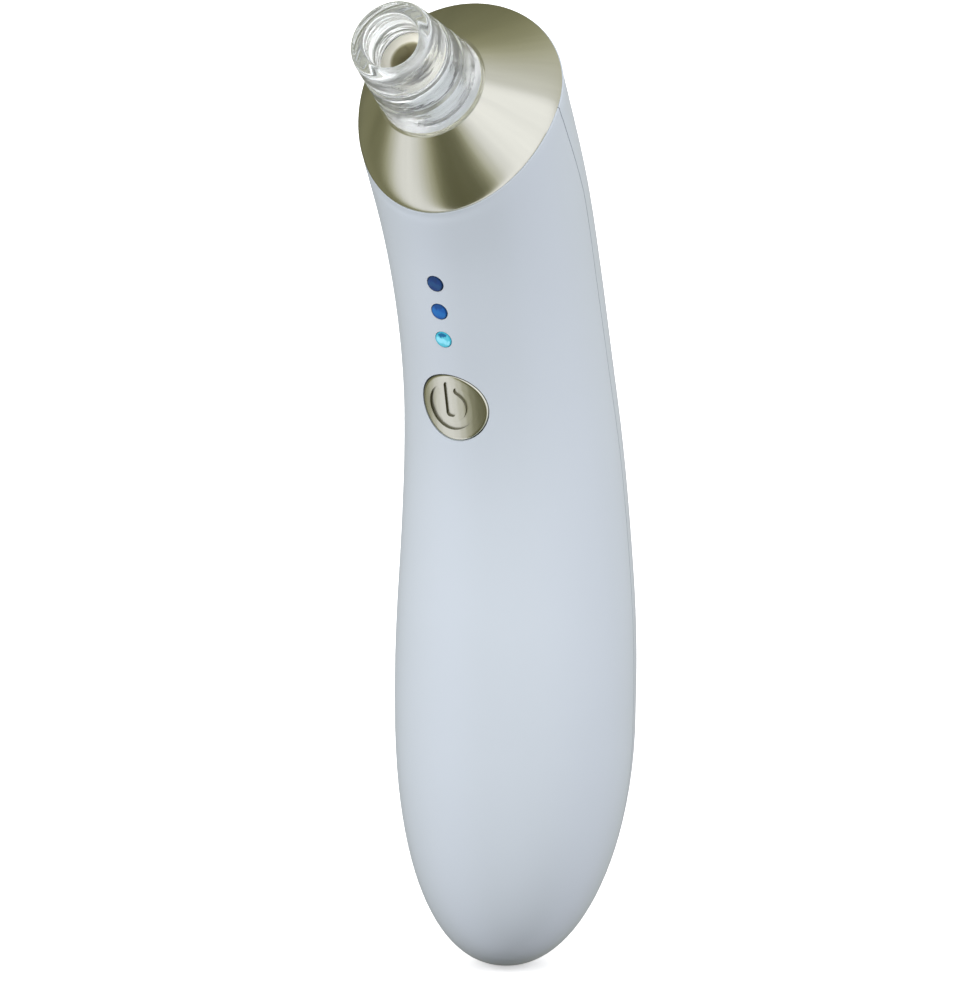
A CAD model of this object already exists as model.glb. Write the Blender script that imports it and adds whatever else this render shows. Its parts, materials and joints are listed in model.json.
"""Looks for a hand-held pore vacuum: shells, metal nose, clear tip, button, lights and a plain studio."""

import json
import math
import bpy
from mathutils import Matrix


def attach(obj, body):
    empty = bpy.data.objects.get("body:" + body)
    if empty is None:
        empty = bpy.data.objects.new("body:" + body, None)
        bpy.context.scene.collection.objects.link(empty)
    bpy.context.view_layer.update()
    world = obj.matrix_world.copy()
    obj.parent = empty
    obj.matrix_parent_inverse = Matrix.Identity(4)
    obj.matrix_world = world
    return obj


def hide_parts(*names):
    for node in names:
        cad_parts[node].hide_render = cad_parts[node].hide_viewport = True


bl_info = {
    "name": "Pore Vacuum Looks",
    "version": (1, 0, 0),
    "blender": (4, 5, 0),
    "location": "View3D > Sidebar > Pore Vacuum",
    "description": "Builds the visible pieces of a pore vacuum round its packed solids",
    "category": "Object",
}

import bmesh
import bpy
from bpy.props import FloatProperty, FloatVectorProperty, IntProperty, PointerProperty
from mathutils import Matrix, Vector
from mathutils.bvhtree import BVHTree

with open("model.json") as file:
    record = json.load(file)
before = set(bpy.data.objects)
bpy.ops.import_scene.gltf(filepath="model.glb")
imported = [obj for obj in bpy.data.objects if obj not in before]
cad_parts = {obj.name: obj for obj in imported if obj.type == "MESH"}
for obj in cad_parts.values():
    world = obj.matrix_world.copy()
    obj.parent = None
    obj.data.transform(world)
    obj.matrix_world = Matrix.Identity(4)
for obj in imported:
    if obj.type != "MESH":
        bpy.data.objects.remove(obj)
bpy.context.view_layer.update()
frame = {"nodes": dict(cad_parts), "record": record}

MM = 0.001
WHOLE_TURN = 2.0 * math.pi
QUARTER_TURN = 0.5 * math.pi
SIDEWAYS = Vector((1.0, 0.0, 0.0))

# The handle's stations in millimetres: front y and z, back y and z, half width, and how far from front to
# back the widest place lies. SHIFT_Y is added to each y.
SHIFT_Y = 10.513 * MM
UPPER_STATIONS = (
    (-29.7, 140.7, -4.834, 170.539, 18.3, 0.579),
    (-25.8, 130.0, 8.5, 145.2, 17.3, 0.53),
    (-22.5, 118.0, 15.6, 125.6, 16.7, 0.51),
    (-19.0, 104.0, 19.5, 107.0, 17.1, 0.5),
    (-16.9, 90.0, 21.6, 91.0, 18.2, 0.5),
    (-16.5, 75.0, 22.8, 75.0, 19.3, 0.5),
    (-17.0, 60.0, 23.4, 60.0, 20.25, 0.5),
)
SMOOTHING_PASSES = 6

# The rounded end below the belly, down to its lowest point, the apex
BELLY_HEIGHT = 46.0 * MM
BELLY_HALF_WIDTH = 20.5 * MM
BELLY_HALF_DEPTH = 20.0 * MM
BELLY_Y = 2.9 * MM
APEX_Y = -0.55 * MM
BOTTOM_ROUNDNESS = 2.2
BOTTOM_SPACING = 0.8

# How far the looks lie inside the solids' outer faces
SKIN = 0.03 * MM

# How far behind the middle the shells part at the rim, and how much further from the second station
# down, in millimetres
PARTING_SETBACK = 3.2
PARTING_FURTHER = 2.3

# Shell screws: side and height of each pair, the shell left under their heads, and the heads
SHELL_SCREWS = ((13.0 * MM, 44.0 * MM), (10.9 * MM, 131.0 * MM))
SCREW_SHOULDER = 2.0 * MM
SCREW_HEAD_RADIUS = 1.7 * MM
SCREW_HEAD_HEIGHT = 1.2 * MM

# The charging recess, the socket behind its floor, and the row of vents
PORT_HEIGHT = 30.0 * MM
PORT_FLOOR = 18.4 * MM + SHIFT_Y
PORT_HALF_WIDTH = 6.8 * MM
PORT_HALF_HEIGHT = 3.9 * MM
PORT_CORNER = 2.6 * MM
PORT_WALL = 1.6 * MM
SOCKET_HALF_WIDTH = 4.5 * MM
SOCKET_HALF_HEIGHT = 1.6 * MM
SOCKET_LENGTH = 6.6 * MM
VENTS_HEIGHT = 112.0 * MM
VENT_COUNT = 5
VENT_PITCH = 2.4 * MM
VENT_HALF_SLOT = 0.55 * MM
VENT_HALF_LENGTH = 4.5 * MM
VENT_DEPTH_Y = 14.5 * MM + SHIFT_Y

# How far the nose's shoulder is drawn in from the rim: half width, front and back
SHOULDER_DRAW = (0.96, 0.93, 0.85)

# The clear tip's grooves: start and end as shares of its length, and the depth at either end
TIP_GROOVES = ((0.36, 0.43, 0.45 * MM, 0.5 * MM), (0.63, 0.73, 0.45 * MM, 0.4 * MM))

# The button's face over the handle, its edge's fall, and the opening of its symbol's ring
BUTTON_PROUD = 0.10 * MM
BUTTON_EDGE_FALL = 0.25 * MM
BUTTON_DEPTH = 2.6 * MM
SYMBOL_SHIFT = (-0.3 * MM, 0.1 * MM)
SYMBOL_OPENING = math.radians(66.0)
SYMBOL_OPENING_AT = math.radians(96.0)
SYMBOL_BAR = (-1.8 * MM, 4.75 * MM)
SYMBOL_CUT = (-5.0 * MM, 3.0 * MM)


def metres(name, value, note):
    return FloatProperty(
        name=name, default=value, description=note, unit="LENGTH", subtype="DISTANCE", precision=5
    )


def tint(name, value, note):
    return FloatVectorProperty(
        name=name, default=value, description=note, subtype="COLOR", size=3, min=0.0, max=1.0
    )


def strength(name, value, note):
    return FloatProperty(name=name, default=value, description=note, min=0.0)


class HandleSizes(bpy.types.PropertyGroup):
    wall: metres("Wall", 1.8 * MM, "Thickness of both shells")
    parting: metres("Parting", 0.16 * MM, "Width of the line between the shells")
    rim_rounding: metres("Rim Rounding", 0.3 * MM, "Rounding of the edge that meets the metal nose")
    around: IntProperty(name="Around", default=96, min=24, description="Faces round the handle")
    rings_per_station: IntProperty(name="Rings", default=9, min=2, description="Rings between two stations")


class NoseSizes(bpy.types.PropertyGroup):
    height: metres("Height", 11.0 * MM, "Height of the metal nose above the handle's rim")
    shoulder: metres("Shoulder", 3.3 * MM, "Height of the curve's pull between rim and top")
    setback: metres("Setback", 0.15 * MM, "How far the metal's edge lies inside the rim")
    top_radius: metres("Top Radius", 9.7 * MM, "Radius of the flat round the tip")
    wall: metres("Wall", 1.2 * MM, "Thickness of the metal")
    hole_radius: metres("Hole Radius", 6.1 * MM, "Radius of the hole for the spigot")
    tip_offset: metres("Tip Offset", 0.6 * MM, "How far the suction axis lies below the rim's middle")


class TipSizes(bpy.types.PropertyGroup):
    base: metres("Base", 11.3 * MM, "Height of the tip's foot above the rim")
    length: metres("Length", 17.7 * MM, "Length of the clear tip")
    front_radius: metres("Front Radius", 7.42 * MM, "Outer radius at the skin")
    base_radius: metres("Base Radius", 9.3 * MM, "Outer radius at the nose")
    bore_radius: metres("Bore Radius", 4.9 * MM, "Radius of the opening")
    socket_radius: metres("Socket Radius", 6.2 * MM, "Radius of the socket round the spigot")
    spigot_radius: metres("Spigot Radius", 5.8 * MM, "Radius of the cream spigot")
    spigot_end: metres("Spigot End", 5.1 * MM, "Radius of the spigot's tapered end")
    spigot_bore: metres("Spigot Bore", 3.2 * MM, "Radius of the air hole")


class ButtonSizes(bpy.types.PropertyGroup):
    height: metres("Height", 103.6 * MM, "Height of the button's middle")
    radius: metres("Radius", 6.12 * MM, "Radius of the button")
    gap: metres("Gap", 0.2 * MM, "Gap between the button and the shell")
    bevel: metres("Bevel", 0.30 * MM, "Width of the polished edge")
    crown: metres("Crown", 0.12 * MM, "Height of the face's soft crown over the handle's curve")
    groove: metres("Groove", 0.42 * MM, "Depth of the symbol")
    ring_radius: metres("Ring Radius", 3.55 * MM, "Radius to the middle of the symbol's ring")
    stroke: metres("Stroke", 1.4 * MM, "Width of the symbol's line")


class LightSizes(bpy.types.PropertyGroup):
    lens_radius: metres("Lens Radius", 1.45 * MM, "Radius of each light")
    lowest: metres("Lowest", 116.4 * MM, "Height of the lowest light")
    pitch: metres("Pitch", 5.3 * MM, "Height between two lights")


class Colours(bpy.types.PropertyGroup):
    shell: tint("Shell", (0.585, 0.640, 0.705), "Pale blue-grey plastic")
    nose: tint("Nose", (0.70, 0.685, 0.55), "Champagne plated metal")
    cream: tint("Cream", (0.82, 0.79, 0.68), "Spigot plastic")
    navy: tint("Navy", (0.004, 0.038, 0.17), "Unlit light")
    blue: tint("Blue", (0.004, 0.095, 0.37), "Dim light")
    cyan: tint("Cyan", (0.09, 0.48, 0.60), "Lit light")


class StageSizes(bpy.types.PropertyGroup):
    ambient: strength("Ambient", 0.70, "Strength of the light all round")
    key: strength("Key", 12.0, "Power of the large front lamp in watts")
    fill: strength("Fill", 9.6, "Power of the side lamp in watts")
    floor_size: metres("Floor", 6.0, "Width of the floor")


def settings(name):
    return getattr(bpy.context.scene, "pore_vacuum_" + name)


# Mesh helpers


def shifted(x=0.0, y=0.0, z=0.0):
    return Matrix.Translation((x, y, z))


def smoothed(mesh, sharp_angle=35.0):
    mesh.shade_smooth()
    mesh.set_sharp_from_angle(angle=math.radians(sharp_angle))


def add_object(name, work, matrix=Matrix.Identity(4), sharp_angle=35.0):
    """Puts a finished bmesh in the scene with its place in its vertices."""
    bmesh.ops.transform(work, matrix=matrix, verts=work.verts)
    bmesh.ops.recalc_face_normals(work, faces=work.faces)
    mesh = bpy.data.meshes.new(name)
    work.to_mesh(mesh)
    work.free()
    smoothed(mesh, sharp_angle)
    made = bpy.data.objects.new(name, mesh)
    bpy.context.scene.collection.objects.link(made)
    return made


def carved(target, operation, *tools):
    """Joins, cuts or trims a piece with helper pieces, and clears the helpers away."""
    for tool in tools:
        modifier = target.modifiers.new(tool.name, "BOOLEAN")
        modifier.operation = operation
        modifier.object = tool
        modifier.solver = "EXACT"
    graph = bpy.context.evaluated_depsgraph_get()
    mesh = bpy.data.meshes.new_from_object(target.evaluated_get(graph))
    target.modifiers.clear()
    old = target.data
    target.data = mesh
    bpy.data.meshes.remove(old)
    for tool in tools:
        bpy.data.objects.remove(tool, do_unlink=True)
    smoothed(mesh)
    return target


def copied(piece, name):
    twin = bpy.data.objects.new(name, piece.data.copy())
    bpy.context.scene.collection.objects.link(twin)
    return twin


def shown(piece, body, slot, material, *nodes):
    """Names a finished piece's body, slot and material, and the solids it stands for."""
    piece.data.materials.clear()
    piece.data.materials.append(material)
    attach(piece, body)
    if nodes:
        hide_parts(*nodes)


def turned(name, profile, matrix=Matrix.Identity(4), steps=96, start=0.0, sweep=WHOLE_TURN, sharp_angle=35.0):
    """Turns (radius, height) points about z: solid if they start on the axis, else a ring."""
    work = bmesh.new()
    points = [work.verts.new((radius / MM, 0.0, height / MM)) for radius, height in profile]
    edges = [work.edges.new(pair) for pair in zip(points, points[1:])]
    if profile[0][0] > 0.0:
        edges.append(work.edges.new((points[-1], points[0])))
    whole = sweep == WHOLE_TURN
    section = points + edges if whole else [work.faces.new(points)]
    middle = (0.0, 0.0, 0.0)
    bmesh.ops.rotate(work, verts=points, matrix=Matrix.Rotation(start, 3, "Z"), cent=middle)
    bmesh.ops.spin(
        work, geom=section, cent=middle, axis=(0.0, 0.0, 1.0), angle=sweep, steps=steps, use_merge=whole
    )
    bmesh.ops.remove_doubles(work, verts=work.verts, dist=1e-4)
    return add_object(name, work, matrix @ Matrix.Scale(MM, 4), sharp_angle)


def plug(name, radius, low, high, matrix, steps=96):
    """A round rod between two heights, which cuts a hole."""
    return turned(name, [(0.0, low), (radius, low), (radius, high), (0.0, high)], matrix, steps)


def rounded(points, steps=4):
    """A (radius, height) outline. Each point comes with how far its corner is rounded off."""
    out = []
    last = len(points) - 1
    for number, (corner, radius) in enumerate(points):
        here = Vector(corner)
        if not radius or number in (0, last):
            out.append(tuple(here))
            continue
        before = Vector(points[number - 1][0]) - here
        after = Vector(points[number + 1][0]) - here
        reach = min(radius, before.length * 0.49, after.length * 0.49)
        first = here + before.normalized() * reach
        second = here + after.normalized() * reach
        for step in range(steps + 1):
            t = step / steps
            out.append(tuple(first * (1 - t) ** 2 + here * 2 * t * (1 - t) + second * t * t))
    return out


def lofted(name, rings, around, apex=None, closed=False):
    """Bridges a row of ovals, worked in millimetres so that small loops keep their direction."""
    nudge = 1e-6
    work = bmesh.new()
    loops = []
    for number, (ring, stretch) in enumerate(rings):
        matrix = Matrix.Scale(1.0 / MM, 4) @ ring @ shifted(z=number * nudge)
        made = bmesh.ops.create_circle(work, cap_ends=False, radius=1.0, segments=around)
        behind = [vert for vert in made["verts"] if vert.co.y > 0.0]
        bmesh.ops.scale(work, vec=(1.0, stretch, 1.0), verts=behind)
        bmesh.ops.transform(work, matrix=matrix, verts=made["verts"])
        loops.append(list({edge for vert in made["verts"] for edge in vert.link_edges}))
    pairs = list(zip(loops, loops[1:]))
    if closed:
        pairs.append((loops[-1], loops[0]))
    for first, second in pairs:
        bmesh.ops.bridge_loops(work, edges=first + second)
    if not closed:
        bmesh.ops.edgeloop_fill(work, edges=loops[0])
    if apex is not None:
        fan = bmesh.ops.extrude_edge_only(work, edges=loops[-1])
        point = [item for item in fan["geom"] if isinstance(item, bmesh.types.BMVert)]
        bmesh.ops.pointmerge(work, verts=point, merge_co=Vector(apex) / MM)
    return add_object(name, work, Matrix.Scale(MM, 4))


def block(name, lows, highs, matrix=Matrix.Identity(4), rounding=0.0, axis=None):
    """A box between two corners. Its edges along one axis, or all, are rounded."""
    work = bmesh.new()
    size = [(high - low) / MM for low, high in zip(lows, highs)]
    centre = [(high + low) / 2.0 / MM for low, high in zip(lows, highs)]
    place = Matrix.Translation(centre) @ Matrix.Diagonal((*size, 1.0))
    bmesh.ops.create_cube(work, size=1.0, matrix=place)
    if rounding:
        edges = work.edges[:]
        if axis is not None:
            edges = [e for e in edges if abs((e.verts[0].co - e.verts[1].co)[axis]) > 1e-6]
        bmesh.ops.bevel(
            work, geom=edges, offset=rounding / MM, segments=6, profile=0.5, affect="EDGES", material=-1
        )
    return add_object(name, work, matrix @ Matrix.Scale(MM, 4))


def crosswise(name, height, half_width, half_height, near, far, rounding, axis=1):
    """A rounded block across the handle's middle plane at a height, from one y to another."""
    lows = (-half_width, near, height - half_height)
    highs = (half_width, far, height + half_height)
    return block(name, lows, highs, rounding=rounding, axis=axis)


# The handle's form


def frame_at(origin, upward):
    """A frame with x across the handle, y along a direction in its middle plane, and z out of it."""
    columns = Matrix((SIDEWAYS, upward, SIDEWAYS.cross(upward))).transposed().to_4x4()
    return Matrix.Translation(origin) @ columns


def smooth_route(points, steps):
    """Points on a curve through the given ones."""
    row = [points[0] * 2.0 - points[1], *points, points[-1] * 2.0 - points[-2]]
    route = []
    for before, start, end, after in zip(row, row[1:], row[2:], row[3:]):
        slope = end - before
        bend = 2.0 * before - 5.0 * start + 4.0 * end - after
        twist = 3.0 * start - before - 3.0 * end + after
        for step in range(steps):
            t = step / steps
            route.append(0.5 * (2.0 * start + slope * t + bend * t**2 + twist * t**3))
    return route


def bottom_station(turn):
    """The station at an angle from the belly (0) to the lowest point (a quarter turn)."""
    drop = math.sin(turn)
    size = (1.0 - drop**BOTTOM_ROUNDNESS) ** (1.0 / BOTTOM_ROUNDNESS)
    height = BELLY_HEIGHT * (1.0 - drop)
    rise = math.sin(QUARTER_TURN * height / BELLY_HEIGHT)
    middle = APEX_Y + (BELLY_Y - APEX_Y) * rise + SHIFT_Y
    half_depth = BELLY_HALF_DEPTH * size
    return Vector((middle - half_depth, height, middle + half_depth, height, BELLY_HALF_WIDTH * size, 0.5))


def bottom_stations(rings):
    return [bottom_station(QUARTER_TURN * (ring / rings) ** BOTTOM_SPACING) for ring in range(rings)]


def handle_stations():
    """Closely spaced stations from the rim to the lowest point, smoothed along the handle."""
    steps = settings("handle").rings_per_station
    shift = Vector((SHIFT_Y, 0.0, SHIFT_Y, 0.0, 0.0, 0.0))
    upper = [Vector((*(size * MM for size in sizes), share)) + shift for *sizes, share in UPPER_STATIONS]
    upper_rings = steps * len(upper)
    stations = smooth_route([*upper, *bottom_stations(7)[:2]], steps)[:upper_rings]
    stations += bottom_stations(3 * steps)
    for _ in range(SMOOTHING_PASSES):
        inner = [
            (before + here * 2.0 + after) / 4.0
            for before, here, after in zip(stations, stations[1:], stations[2:upper_rings])
        ]
        stations = [stations[0], *inner, *stations[len(inner) + 1 :]]
    return stations


def station_ends(station):
    """A station's front and back points."""
    return Vector((0.0, station[0], station[1])), Vector((0.0, station[2], station[3]))


def oval(half_width, front_depth, back_depth):
    """A ring's scale, and the stretch of its back half."""
    return Matrix.Diagonal((half_width, front_depth, 1.0, 1.0)), back_depth / front_depth


def station_ring(station, inset=0.0):
    front, back = station_ends(station)
    across = (back - front).normalized()
    depth = (back - front).length
    front_depth = depth * station[5]
    scale, stretch = oval(station[4] - inset, front_depth - inset, depth - front_depth - inset)
    return frame_at(front + across * front_depth, across) @ scale, stretch


def nose_frame():
    """The suction axis: z along it, y up the rim, z = 0 at the rim."""
    front, back = station_ends(handle_stations()[0])
    rise = (back - front).normalized()
    return frame_at((front + back) / 2.0 - rise * settings("nose").tip_offset, rise)


def handle_form(name, inset=0.0, overrun=0.0, rim_rounding=0.0):
    """The handle's outer form drawn in by an inset. An overrun carries it past the rim."""
    inset += SKIN
    stations = [station for station in handle_stations() if station[1] > 1.5 * inset]
    rings = [station_ring(station, inset) for station in stations]
    out = nose_frame().col[2].to_3d()
    if overrun:
        place, stretch = rings[0]
        rings.insert(0, (Matrix.Translation(out * overrun) @ place, stretch))
    if rim_rounding:
        top = []
        rim_steps = 4
        for step in range(rim_steps + 1):
            turn = QUARTER_TURN * step / rim_steps
            sink = rim_rounding * (1.0 - math.cos(turn))
            draw = rim_rounding * (1.0 - math.sin(turn))
            place, stretch = station_ring(stations[0], inset + draw)
            top.append((Matrix.Translation(-out * sink) @ place, stretch))
        rings = top + rings[1:]
    return lofted(name, rings, settings("handle").around, apex=(0.0, APEX_Y + SHIFT_Y, inset))


def front_point(height):
    """The point of the handle's front line at a height, and the line's slope there."""
    line = [(station[0], station[1]) for station in handle_stations()]
    for (y_high, z_high), (y_low, z_low) in zip(line, line[1:]):
        if z_low <= height <= z_high:
            part = (height - z_low) / (z_high - z_low)
            slope = Vector((0.0, y_high - y_low, z_high - z_low)).normalized()
            return Vector((0.0, y_low + (y_high - y_low) * part, height)), slope
    raise ValueError("no front line at that height")


def button_frame():
    return frame_at(*front_point(settings("button").height))


def light_frame(number):
    """Where a light sits. All three look the same way as the middle one."""
    sizes = settings("lights")
    point, _ = front_point(sizes.lowest + number * sizes.pitch)
    middle, _ = front_point(sizes.lowest + sizes.pitch)
    button, _ = front_point(settings("button").height)
    return frame_at(point, (middle - button).normalized())


def parting_line(offset):
    """The line in the middle plane where the shells meet, as (y, z), moved back by an offset."""
    steps = settings("handle").rings_per_station
    line = []
    for number, station in enumerate(handle_stations()):
        front, back = [end.yz for end in station_ends(station)]
        setback = (PARTING_SETBACK + PARTING_FURTHER * min(1.0, number / steps)) * MM
        line.append((front + back) / 2.0 + (back - front).normalized() * (setback + offset))
    beyond = line[0] + nose_frame().col[2].yz * BELLY_HALF_DEPTH
    return [beyond, *line, Vector((line[-1][0], -BELLY_HALF_DEPTH))]


def side_block(name, near, far, parallel=False):
    """A block right across the handle, from the parting line to a flat or a parallel far side."""
    outline = parting_line(near)
    if parallel:
        outline += parting_line(far)[::-1]
    else:
        outline += [Vector((far, outline[-1][1])), Vector((far, outline[0][1]))]
    work = bmesh.new()
    reach = 2.0 * BELLY_HALF_WIDTH / MM
    face = work.faces.new([work.verts.new((-reach, y / MM, z / MM)) for y, z in outline])
    pulled = bmesh.ops.extrude_face_region(work, geom=[face])
    moved = [item for item in pulled["geom"] if isinstance(item, bmesh.types.BMVert)]
    bmesh.ops.translate(work, verts=moved, vec=(2.0 * reach, 0.0, 0.0))
    return add_object(name, work, Matrix.Scale(MM, 4))


# Finishes. Noise scales are in waves per metre.


class Number:
    """A value in a material that can be added, multiplied and so on."""

    def __init__(self, maker, socket):
        self.maker = maker
        self.socket = socket

    def __add__(self, other):
        return self.maker.maths("ADD", self, other)

    __radd__ = __add__

    def __sub__(self, other):
        return self.maker.maths("SUBTRACT", self, other)

    def __rsub__(self, other):
        return self.maker.maths("SUBTRACT", other, self)

    def __mul__(self, other):
        return self.maker.maths("MULTIPLY", self, other)

    __rmul__ = __mul__

    def __truediv__(self, other):
        return self.maker.maths("DIVIDE", self, other)

    def __rtruediv__(self, other):
        return self.maker.maths("DIVIDE", other, self)

    def __pow__(self, power):
        return self.maker.maths("POWER", self, power)


class NodeMaker:
    """Adds nodes to a tree and joins them up."""

    def __init__(self, tree):
        self.tree = tree

    def node(self, kind, choices=None, sockets=None):
        made = self.tree.nodes.new(kind)
        for name, value in (choices or {}).items():
            setattr(made, name, value)
        for key, value in (sockets or {}).items():
            self.feed(made.inputs[key], value)
        return made

    def feed(self, socket, value):
        if isinstance(value, Number):
            value = value.socket
        if isinstance(value, bpy.types.NodeSocket):
            self.tree.links.new(value, socket)
        else:
            socket.default_value = value

    def number(self, kind, choices=None, sockets=None, output=0):
        return Number(self, self.node(kind, choices, sockets).outputs[output])

    def maths(self, operation, *values):
        return self.number("ShaderNodeMath", {"operation": operation}, dict(enumerate(values)))

    def seen(self):
        """1 where the camera looks, also through clear plastic, and 0 for other rays."""
        path = self.node("ShaderNodeLightPath")
        rays = [Number(self, path.outputs[name]) for name in ("Is Camera Ray", "Is Transmission Ray")]
        return self.maths("MAXIMUM", *rays)


class Finish(NodeMaker):
    """A material built node by node round one Principled shader."""

    def __init__(self, name, constants):
        self.material = bpy.data.materials.new(name)
        self.material.use_nodes = True
        super().__init__(self.material.node_tree)
        self.shader = self.tree.nodes["Principled BSDF"]
        for socket, value in constants.items():
            self.shader.inputs[socket].default_value = value

    def coordinates(self, centre=(0.0, 0.0, 0.0), turn=(0.0, 0.0, 0.0)):
        """Object coordinates about a centre, turned, in metres."""
        source = self.node("ShaderNodeTexCoord").outputs["Object"]
        sockets = {"Vector": source, "Location": centre, "Rotation": turn}
        return self.node("ShaderNodeMapping", {"vector_type": "TEXTURE"}, sockets).outputs[0]

    def about(self, matrix):
        """Object coordinates along a frame's x, y and z, and the distance from its z axis."""
        placed = self.coordinates(matrix.translation, matrix.to_euler())
        split = self.node("ShaderNodeSeparateXYZ", None, {0: placed})
        x, y, z = [Number(self, output) for output in split.outputs]
        return x, y, z, (x * x + y * y) ** 0.5

    def vector(self, *values):
        return self.node("ShaderNodeCombineXYZ", None, dict(enumerate(values))).outputs[0]

    def noise(self, vector, scale, detail=2.0):
        return self.number("ShaderNodeTexNoise", None, {"Vector": vector, "Scale": scale, "Detail": detail})

    def step(self, value, low, high):
        """0 below low, 1 above high, and smooth between."""
        sockets = {"Value": value, "From Min": low, "From Max": high}
        return self.number("ShaderNodeMapRange", {"interpolation_type": "SMOOTHSTEP"}, sockets)

    def mixed(self, factor, first, second):
        sockets = {0: factor, 6: self.colour(first), 7: self.colour(second)}
        return self.node("ShaderNodeMix", {"data_type": "RGBA"}, sockets).outputs[2]

    def colour(self, value):
        return value if isinstance(value, bpy.types.NodeSocket) else (*value[:3], 1.0)

    def paint(self, colour=None, roughness=None, height=None, relief=0.0, emission=None):
        """Feeds the shader. The relief is the height, in metres, of the bumps."""
        if colour is not None:
            self.feed(self.shader.inputs["Base Color"], self.colour(colour))
        if roughness is not None:
            self.feed(self.shader.inputs["Roughness"], roughness)
        if emission is not None:
            self.feed(self.shader.inputs["Emission Color"], self.colour(emission))
        if height is not None:
            bump = self.node("ShaderNodeBump", None, {"Strength": 1.0, "Distance": relief, "Height": height})
            self.feed(self.shader.inputs["Normal"], bump.outputs[0])
        return self.material


def scaled(colour, factor):
    return tuple(min(1.0, part * factor) for part in colour[:3])


def shell_finish():
    colour = settings("colours").shell
    coat = {"Coat Weight": 0.12, "Coat Roughness": 0.18}
    sheen = {"Sheen Weight": 0.10, "Sheen Roughness": 0.35}
    finish = Finish("shell_gloss_plastic", {"IOR": 1.46, **coat, **sheen})
    place = finish.coordinates()
    cloud = finish.noise(place, 45.0, 3.0)
    peel = finish.noise(place, 2600.0, 2.0)
    tone = finish.mixed(cloud, scaled(colour, 0.985), scaled(colour, 1.015))
    return finish.paint(tone, 0.36 + 0.06 * cloud, peel, 0.004 * MM)


def nose_finish():
    """Champagne plating with fine streaks that run towards the suction axis."""
    colour = settings("colours").nose
    finish = Finish("nose_satin_champagne", {"Metallic": 1.0, "Coat Weight": 0.08, "Coat Roughness": 0.2})
    x, y, z, reach = finish.about(nose_frame())
    around = finish.vector(x / reach, y / reach, z * 6.0)
    streak = finish.noise(around, 5.0, 3.0)
    fine = finish.noise(around, 70.0, 3.0)
    tone = finish.mixed(streak, scaled(colour, 0.88), scaled(colour, 1.10))
    return finish.paint(tone, 0.17 + 0.06 * streak + 0.05 * fine, streak * 0.93 + fine * 0.07, 0.02 * MM)


def button_finish():
    """The same plating: satin on the face, polished on the edge, and dark down the symbol's walls."""
    colour = settings("colours").nose
    sizes = settings("button")
    matrix = button_frame()
    finish = Finish("button_satin_champagne", {"Metallic": 1.0, "Coat Weight": 0.05, "Coat Roughness": 0.2})
    x, y, _, reach = finish.about(matrix)
    edge = finish.step(reach, sizes.radius - 1.4 * sizes.bevel, sizes.radius - sizes.bevel)
    rings = finish.noise(finish.vector(reach * 60.0, x * 3.0, y * 3.0), 60.0, 3.0)
    tone = finish.mixed(rings, scaled(colour, 0.92), scaled(colour, 1.06))
    sockets = {0: finish.node("ShaderNodeNewGeometry").outputs["Normal"], 1: matrix.col[2].to_3d()}
    flatness = finish.number("ShaderNodeVectorMath", {"operation": "DOT_PRODUCT"}, sockets, "Value")
    wall = (1.0 - finish.step(flatness, 0.35, 0.75)) * (1.0 - edge)
    tone = finish.mixed(wall, tone, scaled(colour, 0.34))
    roughness = (0.26 + 0.08 * rings) * (1.0 - edge) + 0.12 * edge
    return finish.paint(tone, roughness, rings, 0.006 * MM)


def clear_finish():
    """Clear plastic with moulding swirls, polished outside and a little frosted round the spigot."""
    sizes = settings("tip")
    constants = {"Transmission Weight": 0.93, "IOR": 1.49, "Base Color": (0.955, 0.98, 0.99, 1.0)}
    finish = Finish("tip_clear_plastic", constants)
    x, y, z, reach = finish.about(nose_frame())
    outside = finish.step(reach, sizes.bore_radius, sizes.socket_radius + 0.3 * MM)
    swirls = finish.noise(finish.vector(x, y, z * 4.0), 110.0, 3.0)
    haze = finish.noise(finish.coordinates(), 900.0, 2.0)
    return finish.paint(None, 0.20 - 0.19 * outside + 0.03 * haze, swirls, 0.22 * MM)


def spigot_finish():
    """Cream plastic, paler down its side, with a dull olive air hole."""
    sizes = settings("tip")
    cream = settings("colours").cream
    finish = Finish("spigot_cream", {"IOR": 1.46})
    _, _, _, reach = finish.about(nose_frame())
    hole = 1.0 - finish.step(reach, sizes.spigot_bore, sizes.spigot_bore + 0.4 * MM)
    side = finish.step(reach, sizes.spigot_end, sizes.spigot_radius)
    cloud = finish.noise(finish.coordinates(), 300.0)
    tone = finish.mixed(cloud, scaled(cream, 0.95), scaled(cream, 1.04))
    tone = finish.mixed(side, tone, (0.74, 0.76, 0.76))
    tone = finish.mixed(hole, tone, (0.42, 0.39, 0.24))
    return finish.paint(tone, 0.34 + 0.08 * cloud, cloud, 0.005 * MM)


# Each light's colour, its tones at the top, at the rim and in the pale band, and its glow
LENS_LOOKS = (
    ("cyan", (0.003, 0.11, 0.25), (0.04, 0.36, 0.48), (0.24, 0.66, 0.80), 0.26),
    ("blue", (0.003, 0.06, 0.24), (0.003, 0.045, 0.17), (0.010, 0.14, 0.44), 0.10),
    ("navy", (0.003, 0.032, 0.13), (0.003, 0.022, 0.08), (0.010, 0.062, 0.19), 0.06),
)


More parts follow.
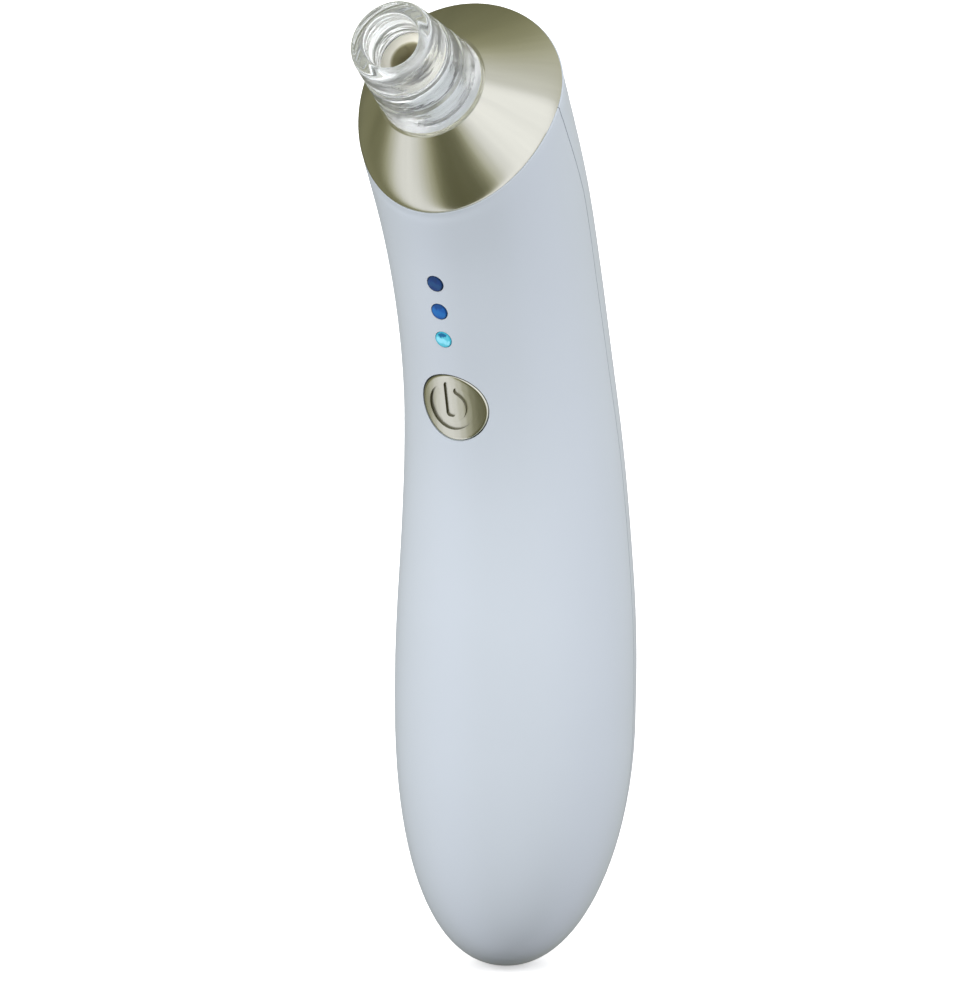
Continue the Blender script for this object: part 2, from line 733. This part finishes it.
def lens_finish(number):
    """A streaked blue lens: deep at its top, paler in a band across its middle."""
    name, deep, edge, pale, glow = LENS_LOOKS[number]
    colour = getattr(settings("colours"), name)
    radius = settings("lights").lens_radius
    coat = {"Coat Weight": 0.15, "Coat Roughness": 0.06}
    finish = Finish("lens_" + name, {"Specular IOR Level": 0.2, "Emission Strength": glow, **coat})
    x, y, _, reach = finish.about(light_frame(number))
    grain = finish.noise(finish.vector(x * 2.2, y * 0.8, float(number)), 900.0, 2.0)
    rim = finish.step(reach / radius + grain * 0.2, 0.90, 1.08)
    top = finish.step(y / radius - x * x / radius**2 * 0.9 + grain * 0.9, 0.62, 0.92)
    level = y / radius + x / radius * 0.3 + 0.2
    band = 1.0 - finish.step(level * level + grain * 0.4, 0.22, 0.42)
    tone = finish.mixed(band, colour, pale)
    tone = finish.mixed(top, tone, deep)
    tone = finish.mixed(rim, tone, edge)
    return finish.paint(tone, 0.12 + 0.1 * grain, grain, 0.01 * MM, tone)


def plain_finish(name, colour, roughness, metallic, grain_scale, relief):
    """Moulded plastic, rubber, foam or plain metal: mottled colour and a fine grain."""
    finish = Finish(name, {"Metallic": metallic})
    place = finish.coordinates()
    mottle = finish.noise(place, grain_scale * 0.12, 2.0)
    grain = finish.noise(place, grain_scale, 3.0)
    tone = finish.mixed(mottle, scaled(colour, 0.88), scaled(colour, 1.12))
    return finish.paint(tone, roughness * 0.85 + roughness * 0.3 * grain, grain, relief)


# Each slot's material, colour, roughness, metallic share, grain scale and relief
PLAIN_FINISHES = {
    "cream": ("retainer_cream", (0.82, 0.79, 0.68), 0.38, 0.0, 900.0, 0.005 * MM),
    "frame": ("frame_black_plastic", (0.03, 0.032, 0.035), 0.5, 0.0, 1800.0, 0.015 * MM),
    "rubber": ("rubber_black", (0.02, 0.02, 0.02), 0.7, 0.0, 2200.0, 0.01 * MM),
    "foam": ("filter_foam_white", (0.82, 0.82, 0.78), 0.95, 0.0, 3200.0, 0.2 * MM),
    "hose": ("hose_milky", (0.70, 0.72, 0.71), 0.4, 0.0, 700.0, 0.005 * MM),
    "pump": ("pump_grey_plastic", (0.16, 0.165, 0.18), 0.45, 0.0, 1800.0, 0.01 * MM),
    "steel": ("plated_steel", (0.60, 0.61, 0.63), 0.28, 1.0, 1400.0, 0.004 * MM),
    "brass": ("plain_brass", (0.78, 0.58, 0.25), 0.32, 1.0, 1400.0, 0.004 * MM),
    "ferrite": ("ferrite_grey", (0.06, 0.06, 0.065), 0.6, 0.0, 2600.0, 0.02 * MM),
    "copper": ("copper_winding", (0.72, 0.30, 0.13), 0.35, 1.0, 3000.0, 0.04 * MM),
    "cell": ("cell_blue_wrap", (0.03, 0.10, 0.32), 0.35, 0.0, 500.0, 0.006 * MM),
    "nickel": ("nickel_strip", (0.68, 0.66, 0.60), 0.3, 1.0, 1400.0, 0.004 * MM),
    "board": ("board_green", (0.012, 0.12, 0.05), 0.4, 0.0, 900.0, 0.006 * MM),
    "led": ("led_pale", (0.85, 0.85, 0.76), 0.4, 0.0, 900.0, 0.004 * MM),
    "chip": ("chip_black", (0.012, 0.012, 0.012), 0.5, 0.0, 2600.0, 0.008 * MM),
    "wire_red": ("lead_red", (0.55, 0.012, 0.012), 0.45, 0.0, 900.0, 0.004 * MM),
    "wire_black": ("lead_black", (0.012, 0.012, 0.012), 0.45, 0.0, 900.0, 0.004 * MM),
}


def slot_material(slot):
    name = PLAIN_FINISHES[slot][0]
    return bpy.data.materials.get(name) or plain_finish(*PLAIN_FINISHES[slot])


# Pieces


class PieceOperator:
    """What every piece's operator shares."""

    bl_options = {"REGISTER", "UNDO"}

    def execute(self, context):
        self.make()
        return {"FINISHED"}


def screw_seats():
    """Place and seat of each shell screw, in the solids' order."""
    line = parting_line(0.0)
    for side, height in SHELL_SCREWS:
        for (y_high, z_high), (y_low, z_low) in zip(line, line[1:]):
            if z_low <= height <= z_high:
                parting = y_low + (y_high - y_low) * (height - z_low) / (z_high - z_low)
                break
        for sign in (-1.0, 1.0):
            yield sign * side, parting + SCREW_SHOULDER, height


def along_y(x, y, z):
    return shifted(x, y, z) @ Matrix.Rotation(-QUARTER_TURN, 4, "X")


class POREVAC_OT_handle(PieceOperator, bpy.types.Operator):
    """Front and rear shells with their holes, vents, screw wells and charging recess"""

    bl_idname = "pore_vacuum.handle"
    bl_label = "Handle Shells"

    def make(self):
        sizes = settings("handle")
        outside = 3.0 * BELLY_HALF_DEPTH
        blank = handle_form("handle_blank", rim_rounding=sizes.rim_rounding)
        hollow = handle_form("handle_hollow", inset=sizes.wall, overrun=sizes.wall)
        carved(blank, "DIFFERENCE", hollow)
        rear = copied(blank, "rear_skin")
        blank.name = "front_skin"
        half = sizes.parting / 2.0
        front = carved(blank, "INTERSECT", side_block("front_side", -half, -outside))
        rear = carved(rear, "INTERSECT", side_block("rear_side", half, outside))
        self.pierce_front(front)
        self.pierce_rear(rear, outside)
        material = shell_finish()
        shown(front, "handle", "shell", material, "front_shell")
        shown(rear, "handle", "shell", material, "rear_shell")
        self.add_lip(material)

    def pierce_front(self, front):
        button = settings("button")
        tools = [plug("button_hole", button.radius + button.gap, -8.0 * MM, 5.0 * MM, button_frame())]
        clearance = 0.12 * MM
        radius = settings("lights").lens_radius + clearance
        for number in range(len(LENS_LOOKS)):
            tools.append(plug(f"light_hole_{number}", radius, -4.0 * MM, 3.0 * MM, light_frame(number), 48))
        carved(front, "DIFFERENCE", *tools)

    def pierce_rear(self, rear, outside):
        reach = PORT_FLOOR + outside
        recess = crosswise(
            "port_recess", PORT_HEIGHT, PORT_HALF_WIDTH, PORT_HALF_HEIGHT, PORT_FLOOR, reach, PORT_CORNER
        )
        wall = crosswise(
            "port_wall", PORT_HEIGHT, PORT_HALF_WIDTH + PORT_WALL, PORT_HALF_HEIGHT + PORT_WALL,
            PORT_FLOOR - PORT_WALL, PORT_FLOOR + 4.0 * MM, PORT_CORNER,
        )
        carved(wall, "INTERSECT", handle_form("port_form", inset=0.6 * MM))
        carved(rear, "UNION", wall)
        edge = 0.3 * MM
        slot = crosswise(
            "port_slot", PORT_HEIGHT, SOCKET_HALF_WIDTH + edge, SOCKET_HALF_HEIGHT + edge,
            PORT_FLOOR - 5.0 * MM, PORT_FLOOR + 2.0 * MM, 1.85 * MM,
        )
        vents = [
            crosswise(
                f"vent_{number}", VENTS_HEIGHT + (number - (VENT_COUNT - 1) / 2.0) * VENT_PITCH,
                VENT_HALF_LENGTH, VENT_HALF_SLOT, VENT_DEPTH_Y, reach, VENT_HALF_SLOT * 0.98,
            )
            for number in range(VENT_COUNT)
        ]
        wells = [
            plug(f"well_{number}", SCREW_HEAD_RADIUS + 0.3 * MM, 0.0, 30.0 * MM, along_y(*place), 48)
            for number, place in enumerate(screw_seats())
        ]
        carved(rear, "DIFFERENCE", recess, slot, *vents, *wells)

    def add_lip(self, material):
        """The tongue behind the parting line, which closes it from inside."""
        lip = handle_form("parting_lip", inset=0.45 * MM)
        carved(lip, "DIFFERENCE", handle_form("lip_hollow", inset=1.5 * MM, overrun=2.0 * MM))
        half = 0.9 * MM
        carved(lip, "INTERSECT", side_block("lip_block", -half, half, parallel=True))
        shown(lip, "handle", "shell", material)


class POREVAC_OT_nose(PieceOperator, bpy.types.Operator):
    """The satin metal nose between the handle's rim and the suction tip"""

    bl_idname = "pore_vacuum.nose"
    bl_label = "Metal Nose"

    def ring(self, part, inset=0.0, drop=0.0):
        """The cap's ring part way from the rim (0) to the top (1), drawn in and let down."""
        sizes = settings("nose")
        station = handle_stations()[0]
        front, back = station_ends(station)
        depth = (back - front).length
        front_depth = depth * station[5]
        offset = sizes.tip_offset + front_depth - depth / 2.0
        spread = [size - sizes.setback for size in (station[4], front_depth, depth - front_depth)]
        rim = Vector((offset, *spread, 0.14 * MM))
        pulled = [size * draw for size, draw in zip(rim[1:4], SHOULDER_DRAW)]
        shoulder = Vector((offset * 0.6, *pulled, sizes.shoulder))
        top = Vector((0.0, *[sizes.top_radius] * 3, sizes.height))
        spot = rim * (1.0 - part) ** 2 + shoulder * 2.0 * part * (1.0 - part) + top * part**2
        sink = inset * math.sin(part * math.pi / 4.0)
        scale, stretch = oval(spot[1] - inset, spot[2] - inset, spot[3] - inset)
        return nose_frame() @ shifted(y=spot[0], z=spot[4] - sink - drop) @ scale, stretch

    def level(self, radius, height):
        """A round ring about the suction axis."""
        scale, stretch = oval(radius, radius, radius)
        return nose_frame() @ shifted(z=height) @ scale, stretch

    def make(self):
        sizes = settings("nose")
        steps = 16
        inner_steps = 6
        edge = 0.12 * MM
        rings = [
            self.ring(0.0, 1.3 * MM, edge),
            self.ring(0.0, edge, edge),
            self.ring(0.0, edge * 0.3, edge * 0.7),
            *(self.ring(step / steps) for step in range(steps)),
            self.level(sizes.top_radius, sizes.height - 0.02 * MM),
            self.level(sizes.top_radius - 0.35 * MM, sizes.height),
            self.level(sizes.hole_radius + 0.2 * MM, sizes.height),
            self.level(sizes.hole_radius, sizes.height - 0.2 * MM),
            self.level(sizes.hole_radius, sizes.height - sizes.wall),
            self.level(sizes.top_radius - sizes.wall, sizes.height - sizes.wall),
            *(self.ring(1.0 - step / inner_steps, sizes.wall) for step in range(1, inner_steps)),
        ]
        nose = lofted("nose_cap", rings, 128, closed=True)
        shown(nose, "handle", "nose", nose_finish(), "nose_cone")


class POREVAC_OT_tip(PieceOperator, bpy.types.Operator):
    """The clear suction tip with its stepped rings"""

    bl_idname = "pore_vacuum.tip"
    bl_label = "Suction Tip"

    def make(self):
        sizes = settings("tip")
        foot = sizes.base
        top = foot + sizes.length
        socket_end = foot + 10.0 * MM
        soft = 0.4 * MM
        lean = 0.1 * MM
        taper = sizes.front_radius - sizes.base_radius

        def side(height):
            return sizes.base_radius + taper * (height - foot) / sizes.length

        outline = [((sizes.socket_radius, foot), 0.0), ((side(foot) - 0.1 * MM, foot), soft)]
        for start, end, start_depth, end_depth in TIP_GROOVES:
            low = foot + start * sizes.length
            high = foot + end * sizes.length
            outline += [
                ((side(low), low), soft),
                ((side(low) - start_depth, low + lean), soft),
                ((side(high) - end_depth, high - lean), soft),
                ((side(high), high), soft),
            ]
        outline += [
            ((side(top) - 0.01 * MM, top), 0.8 * MM),
            ((sizes.bore_radius - 0.15 * MM, top), 0.7 * MM),
            ((sizes.bore_radius, socket_end), soft),
            ((sizes.socket_radius, socket_end), soft),
            ((sizes.socket_radius, foot), 0.0),
        ]
        tip = turned("clear_tip", rounded(outline, 6)[:-1], nose_frame(), 96, sharp_angle=50.0)
        shown(tip, "tip", "clear", clear_finish(), "suction_tip")


class POREVAC_OT_spigot(PieceOperator, bpy.types.Operator):
    """The cream spigot and its O-ring, seen through the clear tip"""

    bl_idname = "pore_vacuum.spigot"
    bl_label = "Spigot"

    def make(self):
        sizes = settings("tip")
        nose = settings("nose")
        place = nose_frame()
        bore, outer = sizes.spigot_bore, sizes.spigot_radius
        neck = 4.6 * MM
        flange_radius = 8.2 * MM
        top = nose.height + 10.0 * MM
        flange = nose.height - nose.wall - 0.3 * MM
        underside = flange - 1.2 * MM
        floor = flange - 1.4 * MM
        skirt = flange - 8.5 * MM
        groove = sizes.base + 4.6 * MM
        half_groove = 0.8 * MM
        soft = 0.4 * MM
        outline = [
            ((bore, floor), 0.0), ((neck, floor), 0.0), ((neck, skirt), 0.0), ((outer, skirt), 0.0),
            ((outer, underside), 0.0), ((flange_radius, underside), soft), ((flange_radius, flange), soft),
            ((outer, flange), 0.0), ((outer, groove - half_groove), soft),
            ((neck, groove - half_groove), 0.0), ((neck, groove + half_groove), 0.0),
            ((outer, groove + half_groove), soft), ((outer, top - 1.8 * MM), soft),
            ((sizes.spigot_end, top), soft), ((bore, top), 0.7 * MM), ((bore, floor), 0.0),
        ]
        spigot = turned("spigot_cream", rounded(outline)[:-1], place, 72)
        shown(spigot, "handle", "cream", spigot_finish(), "nozzle_spigot")
        middle, half = 5.4 * MM, 0.5 * MM
        turns = [WHOLE_TURN * step / 16 for step in range(16)]
        section = [(middle + half * math.cos(turn), groove + half * math.sin(turn)) for turn in turns]
        ring = turned("o_ring", section, place, 72)
        shown(ring, "handle", "rubber", slot_material("rubber"), "tip_o_ring")


class POREVAC_OT_button(PieceOperator, bpy.types.Operator):
    """The round metal button with the pressed-in power symbol"""

    bl_idname = "pore_vacuum.button"
    bl_label = "Power Button"

    def surface(self):
        """How high the handle's surface lies over the button's plane, found by rays."""
        form = handle_form("button_probe")
        tree = BVHTree.FromObject(form, bpy.context.evaluated_depsgraph_get())
        bpy.data.objects.remove(form, do_unlink=True)
        place = button_frame()
        back = place.inverted()
        inward = -place.col[2].to_3d()

        def height(x, y):
            start = place @ Vector((x, y, 10.0 * MM))
            hit = tree.ray_cast(start, inward)[0]
            if hit is None:
                raise RuntimeError("the button lies off the handle")
            return (back @ hit)[2]

        return height

    def disc(self, name, lift, height):
        """A disc whose top follows the handle, a little crowned, with a falling edge."""
        sizes = settings("button")
        flat = sizes.radius - sizes.bevel
        rings = 20
        radii = [flat * ring / rings for ring in range(rings + 1)]
        radii += [flat + sizes.bevel * 0.5, sizes.radius - 0.05 * MM, sizes.radius]
        profile = [(radius, 0.0) for radius in radii]
        profile += [(sizes.radius, -BUTTON_DEPTH), (0.0, -BUTTON_DEPTH)]
        disc = turned(name, profile, steps=120)
        for vert in disc.data.vertices:
            x, y, z = vert.co
            if z < -0.1 * MM:
                continue
            reach = math.hypot(x, y)
            crown = sizes.crown * (1.0 - min(1.0, reach / flat) ** 2)
            edge = BUTTON_PROUD - BUTTON_EDGE_FALL * max(0.0, (reach - flat) / sizes.bevel) ** 2
            vert.co.z = height(x, y) + edge + crown + lift
        disc.data.transform(button_frame())
        return disc

    def make(self):
        sizes = settings("button")
        height = self.surface()
        face = self.disc("button_face", 0.0, height)
        core = self.disc("button_core", -sizes.groove, height)
        place = button_frame() @ shifted(*SYMBOL_SHIFT)
        half = sizes.stroke / 2.0
        inner, outer = sizes.ring_radius - half, sizes.ring_radius + half
        low, high = SYMBOL_CUT
        section = [(inner, low), (outer, low), (outer, high), (inner, high)]
        starts = [SYMBOL_OPENING_AT + side * SYMBOL_OPENING / 2.0 for side in (-1.0, 1.0)]
        arc = turned("symbol_arc", section, place, 90, starts[1], WHOLE_TURN - SYMBOL_OPENING)
        foot, head = SYMBOL_BAR
        across = 1.2 * half
        bar = block("symbol_bar", (-across, foot, low), (across, head, high), place, half * 0.9, axis=2)
        ends = [
            plug(
                f"symbol_end_{number}", half, low, high,
                place @ Matrix.Rotation(turn, 4, "Z") @ shifted(x=sizes.ring_radius), 24,
            )
            for number, turn in enumerate(starts)
        ]
        carved(face, "DIFFERENCE", arc, bar, *ends)
        material = button_finish()
        shown(face, "button", "nose", material, "power_button")
        shown(core, "button", "nose", material)


class POREVAC_OT_lights(PieceOperator, bpy.types.Operator):
    """The three blue level lights in a row, the lowest of them lit"""

    bl_idname = "pore_vacuum.lights"
    bl_label = "Level Lights"

    def make(self):
        radius = settings("lights").lens_radius
        crown = 0.12 * MM
        turns = [math.radians(angle) for angle in range(0, 91, 9)]
        dome = [(radius * math.sin(turn), crown * math.cos(turn)) for turn in turns]
        profile = [*dome, (radius, -4.0 * MM), (0.0, -4.0 * MM)]
        for number in range(len(LENS_LOOKS)):
            lens = turned(f"light_{number + 1}", profile, light_frame(number), 48)
            shown(lens, "handle", "lens", lens_finish(number), f"light_lens_{number + 1}")


class POREVAC_OT_screws(PieceOperator, bpy.types.Operator):
    """The four shell screws with crossed slots, deep in their wells"""

    bl_idname = "pore_vacuum.screws"
    bl_label = "Shell Screws"

    def make(self):
        radius, height = SCREW_HEAD_RADIUS, SCREW_HEAD_HEIGHT
        shank = 0.9 * MM
        soft = 0.3 * MM
        outline = [
            ((0.0, -8.0 * MM), 0.0), ((0.5 * MM, -7.6 * MM), 0.0), ((shank, -6.8 * MM), soft),
            ((shank, 0.0), 0.0), ((radius, 0.0), soft), ((radius, height * 0.75), soft), ((0.0, height), 0.0),
        ]
        slot_low, slot_high = (-1.0 * MM, -0.2 * MM, 0.55 * MM), (1.0 * MM, 0.2 * MM, 3.0 * MM)
        for number, (x, y, z) in enumerate(screw_seats()):
            place = along_y(x, y + 0.3 * MM, z)
            screw = turned(f"well_screw_{number + 1}", rounded(outline), place, 40)
            turns = [math.radians(angle + 40.0 * number) for angle in (15.0, 105.0)]
            slots = [
                block(f"slot_{arm}", slot_low, slot_high, place @ Matrix.Rotation(turn, 4, "Z"))
                for arm, turn in enumerate(turns)
            ]
            carved(screw, "DIFFERENCE", *slots)
            shown(screw, "handle", "steel", slot_material("steel"), f"shell_screw_{number + 1}")


class POREVAC_OT_port(PieceOperator, bpy.types.Operator):
    """The charging socket with its tongue"""

    bl_idname = "pore_vacuum.port"
    bl_label = "Charging Socket"

    def make(self):
        half_width, half_height = SOCKET_HALF_WIDTH, SOCKET_HALF_HEIGHT
        mouth = PORT_FLOOR - 0.3 * MM
        back = mouth - SOCKET_LENGTH
        wall = 0.3 * MM
        can = crosswise("socket_can", PORT_HEIGHT, half_width, half_height, back, mouth, half_height * 0.96)
        half_height -= wall
        hollow = crosswise(
            "socket_hollow", PORT_HEIGHT, half_width - wall, half_height, back + 1.2 * MM, mouth + MM,
            half_height * 0.96,
        )
        carved(can, "DIFFERENCE", hollow)
        shown(can, "handle", "steel", slot_material("steel"), "charge_socket")
        tongue = crosswise(
            "socket_tongue", PORT_HEIGHT, 3.35 * MM, 0.35 * MM, back + 1.0 * MM, mouth - 0.7 * MM, 0.15 * MM,
            axis=None,
        )
        shown(tongue, "handle", "frame", slot_material("frame"))


class POREVAC_OT_inside(PieceOperator, bpy.types.Operator):
    """Finishes for the solids inside the handle: pump, motor, cell, boards and leads"""

    bl_idname = "pore_vacuum.inside"
    bl_label = "Inner Parts"

    def make(self):
        slots = {entry["node"]: entry["material_slot"] for entry in frame["record"]["subparts"]}
        for name, node in frame["nodes"].items():
            if node.hide_render:
                continue
            material = slot_material(slots[name])
            for number in range(len(node.material_slots)):
                node.material_slots[number].material = material


# Stage. The camera has a long lens, as the photo's straight sides show.

PIXELS_PER_METRE = 5930.0
LONG_SIDE = 981.0
VIEW_AZIMUTH = math.radians(29.0)
VIEW_ELEVATION = math.radians(18.0)
CAMERA_DISTANCE = 6.0
PICTURE_RIGHT = 2.23 * MM
PICTURE_UP = 82.35 * MM
TENT_CENTRE = Vector((0.0, -0.006, 0.155))
TENT_RADIUS = 1.2
FLOOR_BOUNCE = (0.10, 0.10, 0.10)
FLOOR_GLOW = (0.40, 0.40, 0.40)


class POREVAC_OT_stage(PieceOperator, bpy.types.Operator):
    """The camera, a plain pale floor, soft lamps and the light tent that the metal mirrors"""

    bl_idname = "pore_vacuum.stage"
    bl_label = "Studio"

    def camera(self):
        back = Vector((
            math.sin(VIEW_AZIMUTH) * math.cos(VIEW_ELEVATION),
            -math.cos(VIEW_AZIMUTH) * math.cos(VIEW_ELEVATION),
            math.sin(VIEW_ELEVATION),
        ))
        right = Vector((math.cos(VIEW_AZIMUTH), math.sin(VIEW_AZIMUTH), 0.0))
        up = back.cross(right)
        target = right * PICTURE_RIGHT + up * PICTURE_UP
        data = bpy.data.cameras.new("camera")
        data.sensor_width = 36.0
        data.lens = data.sensor_width * CAMERA_DISTANCE * PIXELS_PER_METRE / LONG_SIDE
        data.clip_start = 0.1
        data.clip_end = 50.0
        camera = bpy.data.objects.new("camera", data)
        bpy.context.scene.collection.objects.link(camera)
        columns = Matrix((right, up, back)).transposed().to_4x4()
        camera.matrix_world = Matrix.Translation(target + back * CAMERA_DISTANCE) @ columns
        bpy.context.scene.camera = camera

    def lamp(self, name, place, aim_height, width, height, power):
        """A rectangular lamp that looks at a height on the z axis and shows in no mirror."""
        data = bpy.data.lights.new(name, "AREA")
        data.shape = "RECTANGLE"
        data.size = width
        data.size_y = height
        data.energy = power
        lamp = bpy.data.objects.new(name, data)
        bpy.context.scene.collection.objects.link(lamp)
        direction = Vector((0.0, 0.0, aim_height)) - Vector(place)
        turn = direction.to_track_quat("-Z", "Y").to_matrix().to_4x4()
        lamp.matrix_world = Matrix.Translation(place) @ turn
        lamp.visible_glossy = False
        lamp.visible_transmission = False

    def tent(self):
        """A light tent that only mirrored rays see: pale panels with dark gaps between them."""
        turns = [math.radians(angle) for angle in range(-84, 85, 6)]
        sides = [(TENT_RADIUS * math.cos(turn), TENT_RADIUS * math.sin(turn)) for turn in turns]
        profile = [(0.0, -TENT_RADIUS), *sides, (0.0, TENT_RADIUS)]
        place = Matrix.Translation(TENT_CENTRE)
        tent = turned("light_tent", profile, place, 64)
        black = {"Base Color": (0.0, 0.0, 0.0, 1.0), "Specular IOR Level": 0.0, "Emission Strength": 1.0}
        finish = Finish("tent_panels", black)
        x, y, z, reach = finish.about(place)
        degrees = 360.0 / WHOLE_TURN
        # The bearing runs from the front (0) by the right (90) round to -100, the rise from the level up.
        bearing = finish.maths("ARCTAN2", x, -1.0 * y) * degrees
        bearing = bearing + 360.0 * finish.maths("LESS_THAN", bearing, -100.0)
        rise = finish.maths("ARCTAN2", z, reach) * degrees
        left = finish.step(bearing - 0.5 * rise, -73.0, -33.0)
        front = finish.step(bearing, -36.0, 8.0)
        right = finish.step(bearing + rise, 12.0, 60.0)
        far = finish.step(bearing + 0.65 * rise, 112.0, 124.0)
        back = finish.step(bearing, 92.0, 240.0)
        behind = finish.step(bearing, 225.0, 245.0)
        level = 0.21 + 0.79 * left - 0.86 * front + 1.04 * right - 0.38 * far - 0.66 * back + 0.10 * behind
        warmth = finish.step(level, 0.1, 1.0)
        tone = finish.mixed(warmth, (1.0, 1.0, 0.62), (0.98, 1.0, 1.14))
        shine = finish.node("ShaderNodeVectorMath", {"operation": "SCALE"}, {0: tone, 3: level}).outputs[0]
        tent.data.materials.append(finish.paint(emission=shine))
        tent.visible_camera = False
        tent.visible_diffuse = False
        tent.visible_transmission = False
        tent.visible_shadow = False

    def floor(self):
        """White where it is seen, and dim for the light that it throws back on the handle."""
        size = settings("stage").floor_size
        work = bmesh.new()
        bmesh.ops.create_grid(work, x_segments=1, y_segments=1, size=size / 2.0)
        floor = add_object("floor", work, shifted(z=-0.05 * MM))
        matt = {"Roughness": 0.9, "Specular IOR Level": 0.0, "Emission Strength": 1.0}
        finish = Finish("floor_white", matt)
        seen = finish.seen()
        cloud = finish.noise(finish.coordinates(), 3.0, 2.0)
        tone = finish.mixed(cloud, (0.93, 0.93, 0.93), (0.95, 0.95, 0.95))
        tone = finish.mixed(seen, FLOOR_BOUNCE, tone)
        glow = finish.mixed(seen, (0.0, 0.0, 0.0), FLOOR_GLOW)
        floor.data.materials.append(finish.paint(tone, emission=glow))
        floor.visible_glossy = False

    def surroundings(self):
        """White where the camera sees them, and dimmer as the light all round."""
        world = bpy.data.worlds.new("studio")
        bpy.context.scene.world = world
        world.use_nodes = True
        room = NodeMaker(world.node_tree)
        ambient = settings("stage").ambient
        background = room.tree.nodes["Background"]
        background.inputs["Color"].default_value = (1.0, 1.0, 1.0, 1.0)
        room.feed(background.inputs["Strength"], ambient + (1.0 - ambient) * room.seen())

    def make(self):
        sizes = settings("stage")
        bpy.context.scene.view_settings.view_transform = "Standard"
        self.camera()
        self.floor()
        self.surroundings()
        self.lamp("key", (-0.42, -1.05, 0.5), 0.11, 0.9, 0.9, sizes.key)
        self.lamp("fill", (1.2, 0.0, 0.5), 0.09, 0.8, 1.0, sizes.fill)
        self.lamp("back", (-0.5, 0.9, 0.7), 0.10, 0.8, 0.8, 0.85 * sizes.fill)
        self.tent()


OPERATORS = (
    POREVAC_OT_handle,
    POREVAC_OT_nose,
    POREVAC_OT_tip,
    POREVAC_OT_spigot,
    POREVAC_OT_button,
    POREVAC_OT_lights,
    POREVAC_OT_screws,
    POREVAC_OT_port,
    POREVAC_OT_inside,
    POREVAC_OT_stage,
)

GROUPS = {
    "handle": HandleSizes,
    "nose": NoseSizes,
    "tip": TipSizes,
    "button": ButtonSizes,
    "lights": LightSizes,
    "colours": Colours,
    "stage": StageSizes,
}


class POREVAC_PT_pieces(bpy.types.Panel):
    """Sizes, colours and pieces of the pore vacuum"""

    bl_idname = "POREVAC_PT_pieces"
    bl_label = "Pore Vacuum"
    bl_space_type = "VIEW_3D"
    bl_region_type = "UI"
    bl_category = "Pore Vacuum"

    def draw(self, context):
        for name, group in GROUPS.items():
            column = self.layout.column(heading=name.title())
            for item in group.__annotations__:
                column.prop(settings(name), item)
        for operator in OPERATORS:
            self.layout.operator(operator.bl_idname)


def register():
    for name, group in GROUPS.items():
        bpy.utils.register_class(group)
        setattr(bpy.types.Scene, "pore_vacuum_" + name, PointerProperty(type=group))
    for operator in OPERATORS:
        bpy.utils.register_class(operator)
    bpy.utils.register_class(POREVAC_PT_pieces)


def unregister():
    bpy.utils.unregister_class(POREVAC_PT_pieces)
    for operator in reversed(OPERATORS):
        bpy.utils.unregister_class(operator)
    for name, group in reversed(GROUPS.items()):
        delattr(bpy.types.Scene, "pore_vacuum_" + name)
        bpy.utils.unregister_class(group)


def main():
    register()
    for operator in OPERATORS:
        family, name = operator.bl_idname.split(".")
        getattr(getattr(bpy.ops, family), name)()


if __name__ == "__main__":
    main()
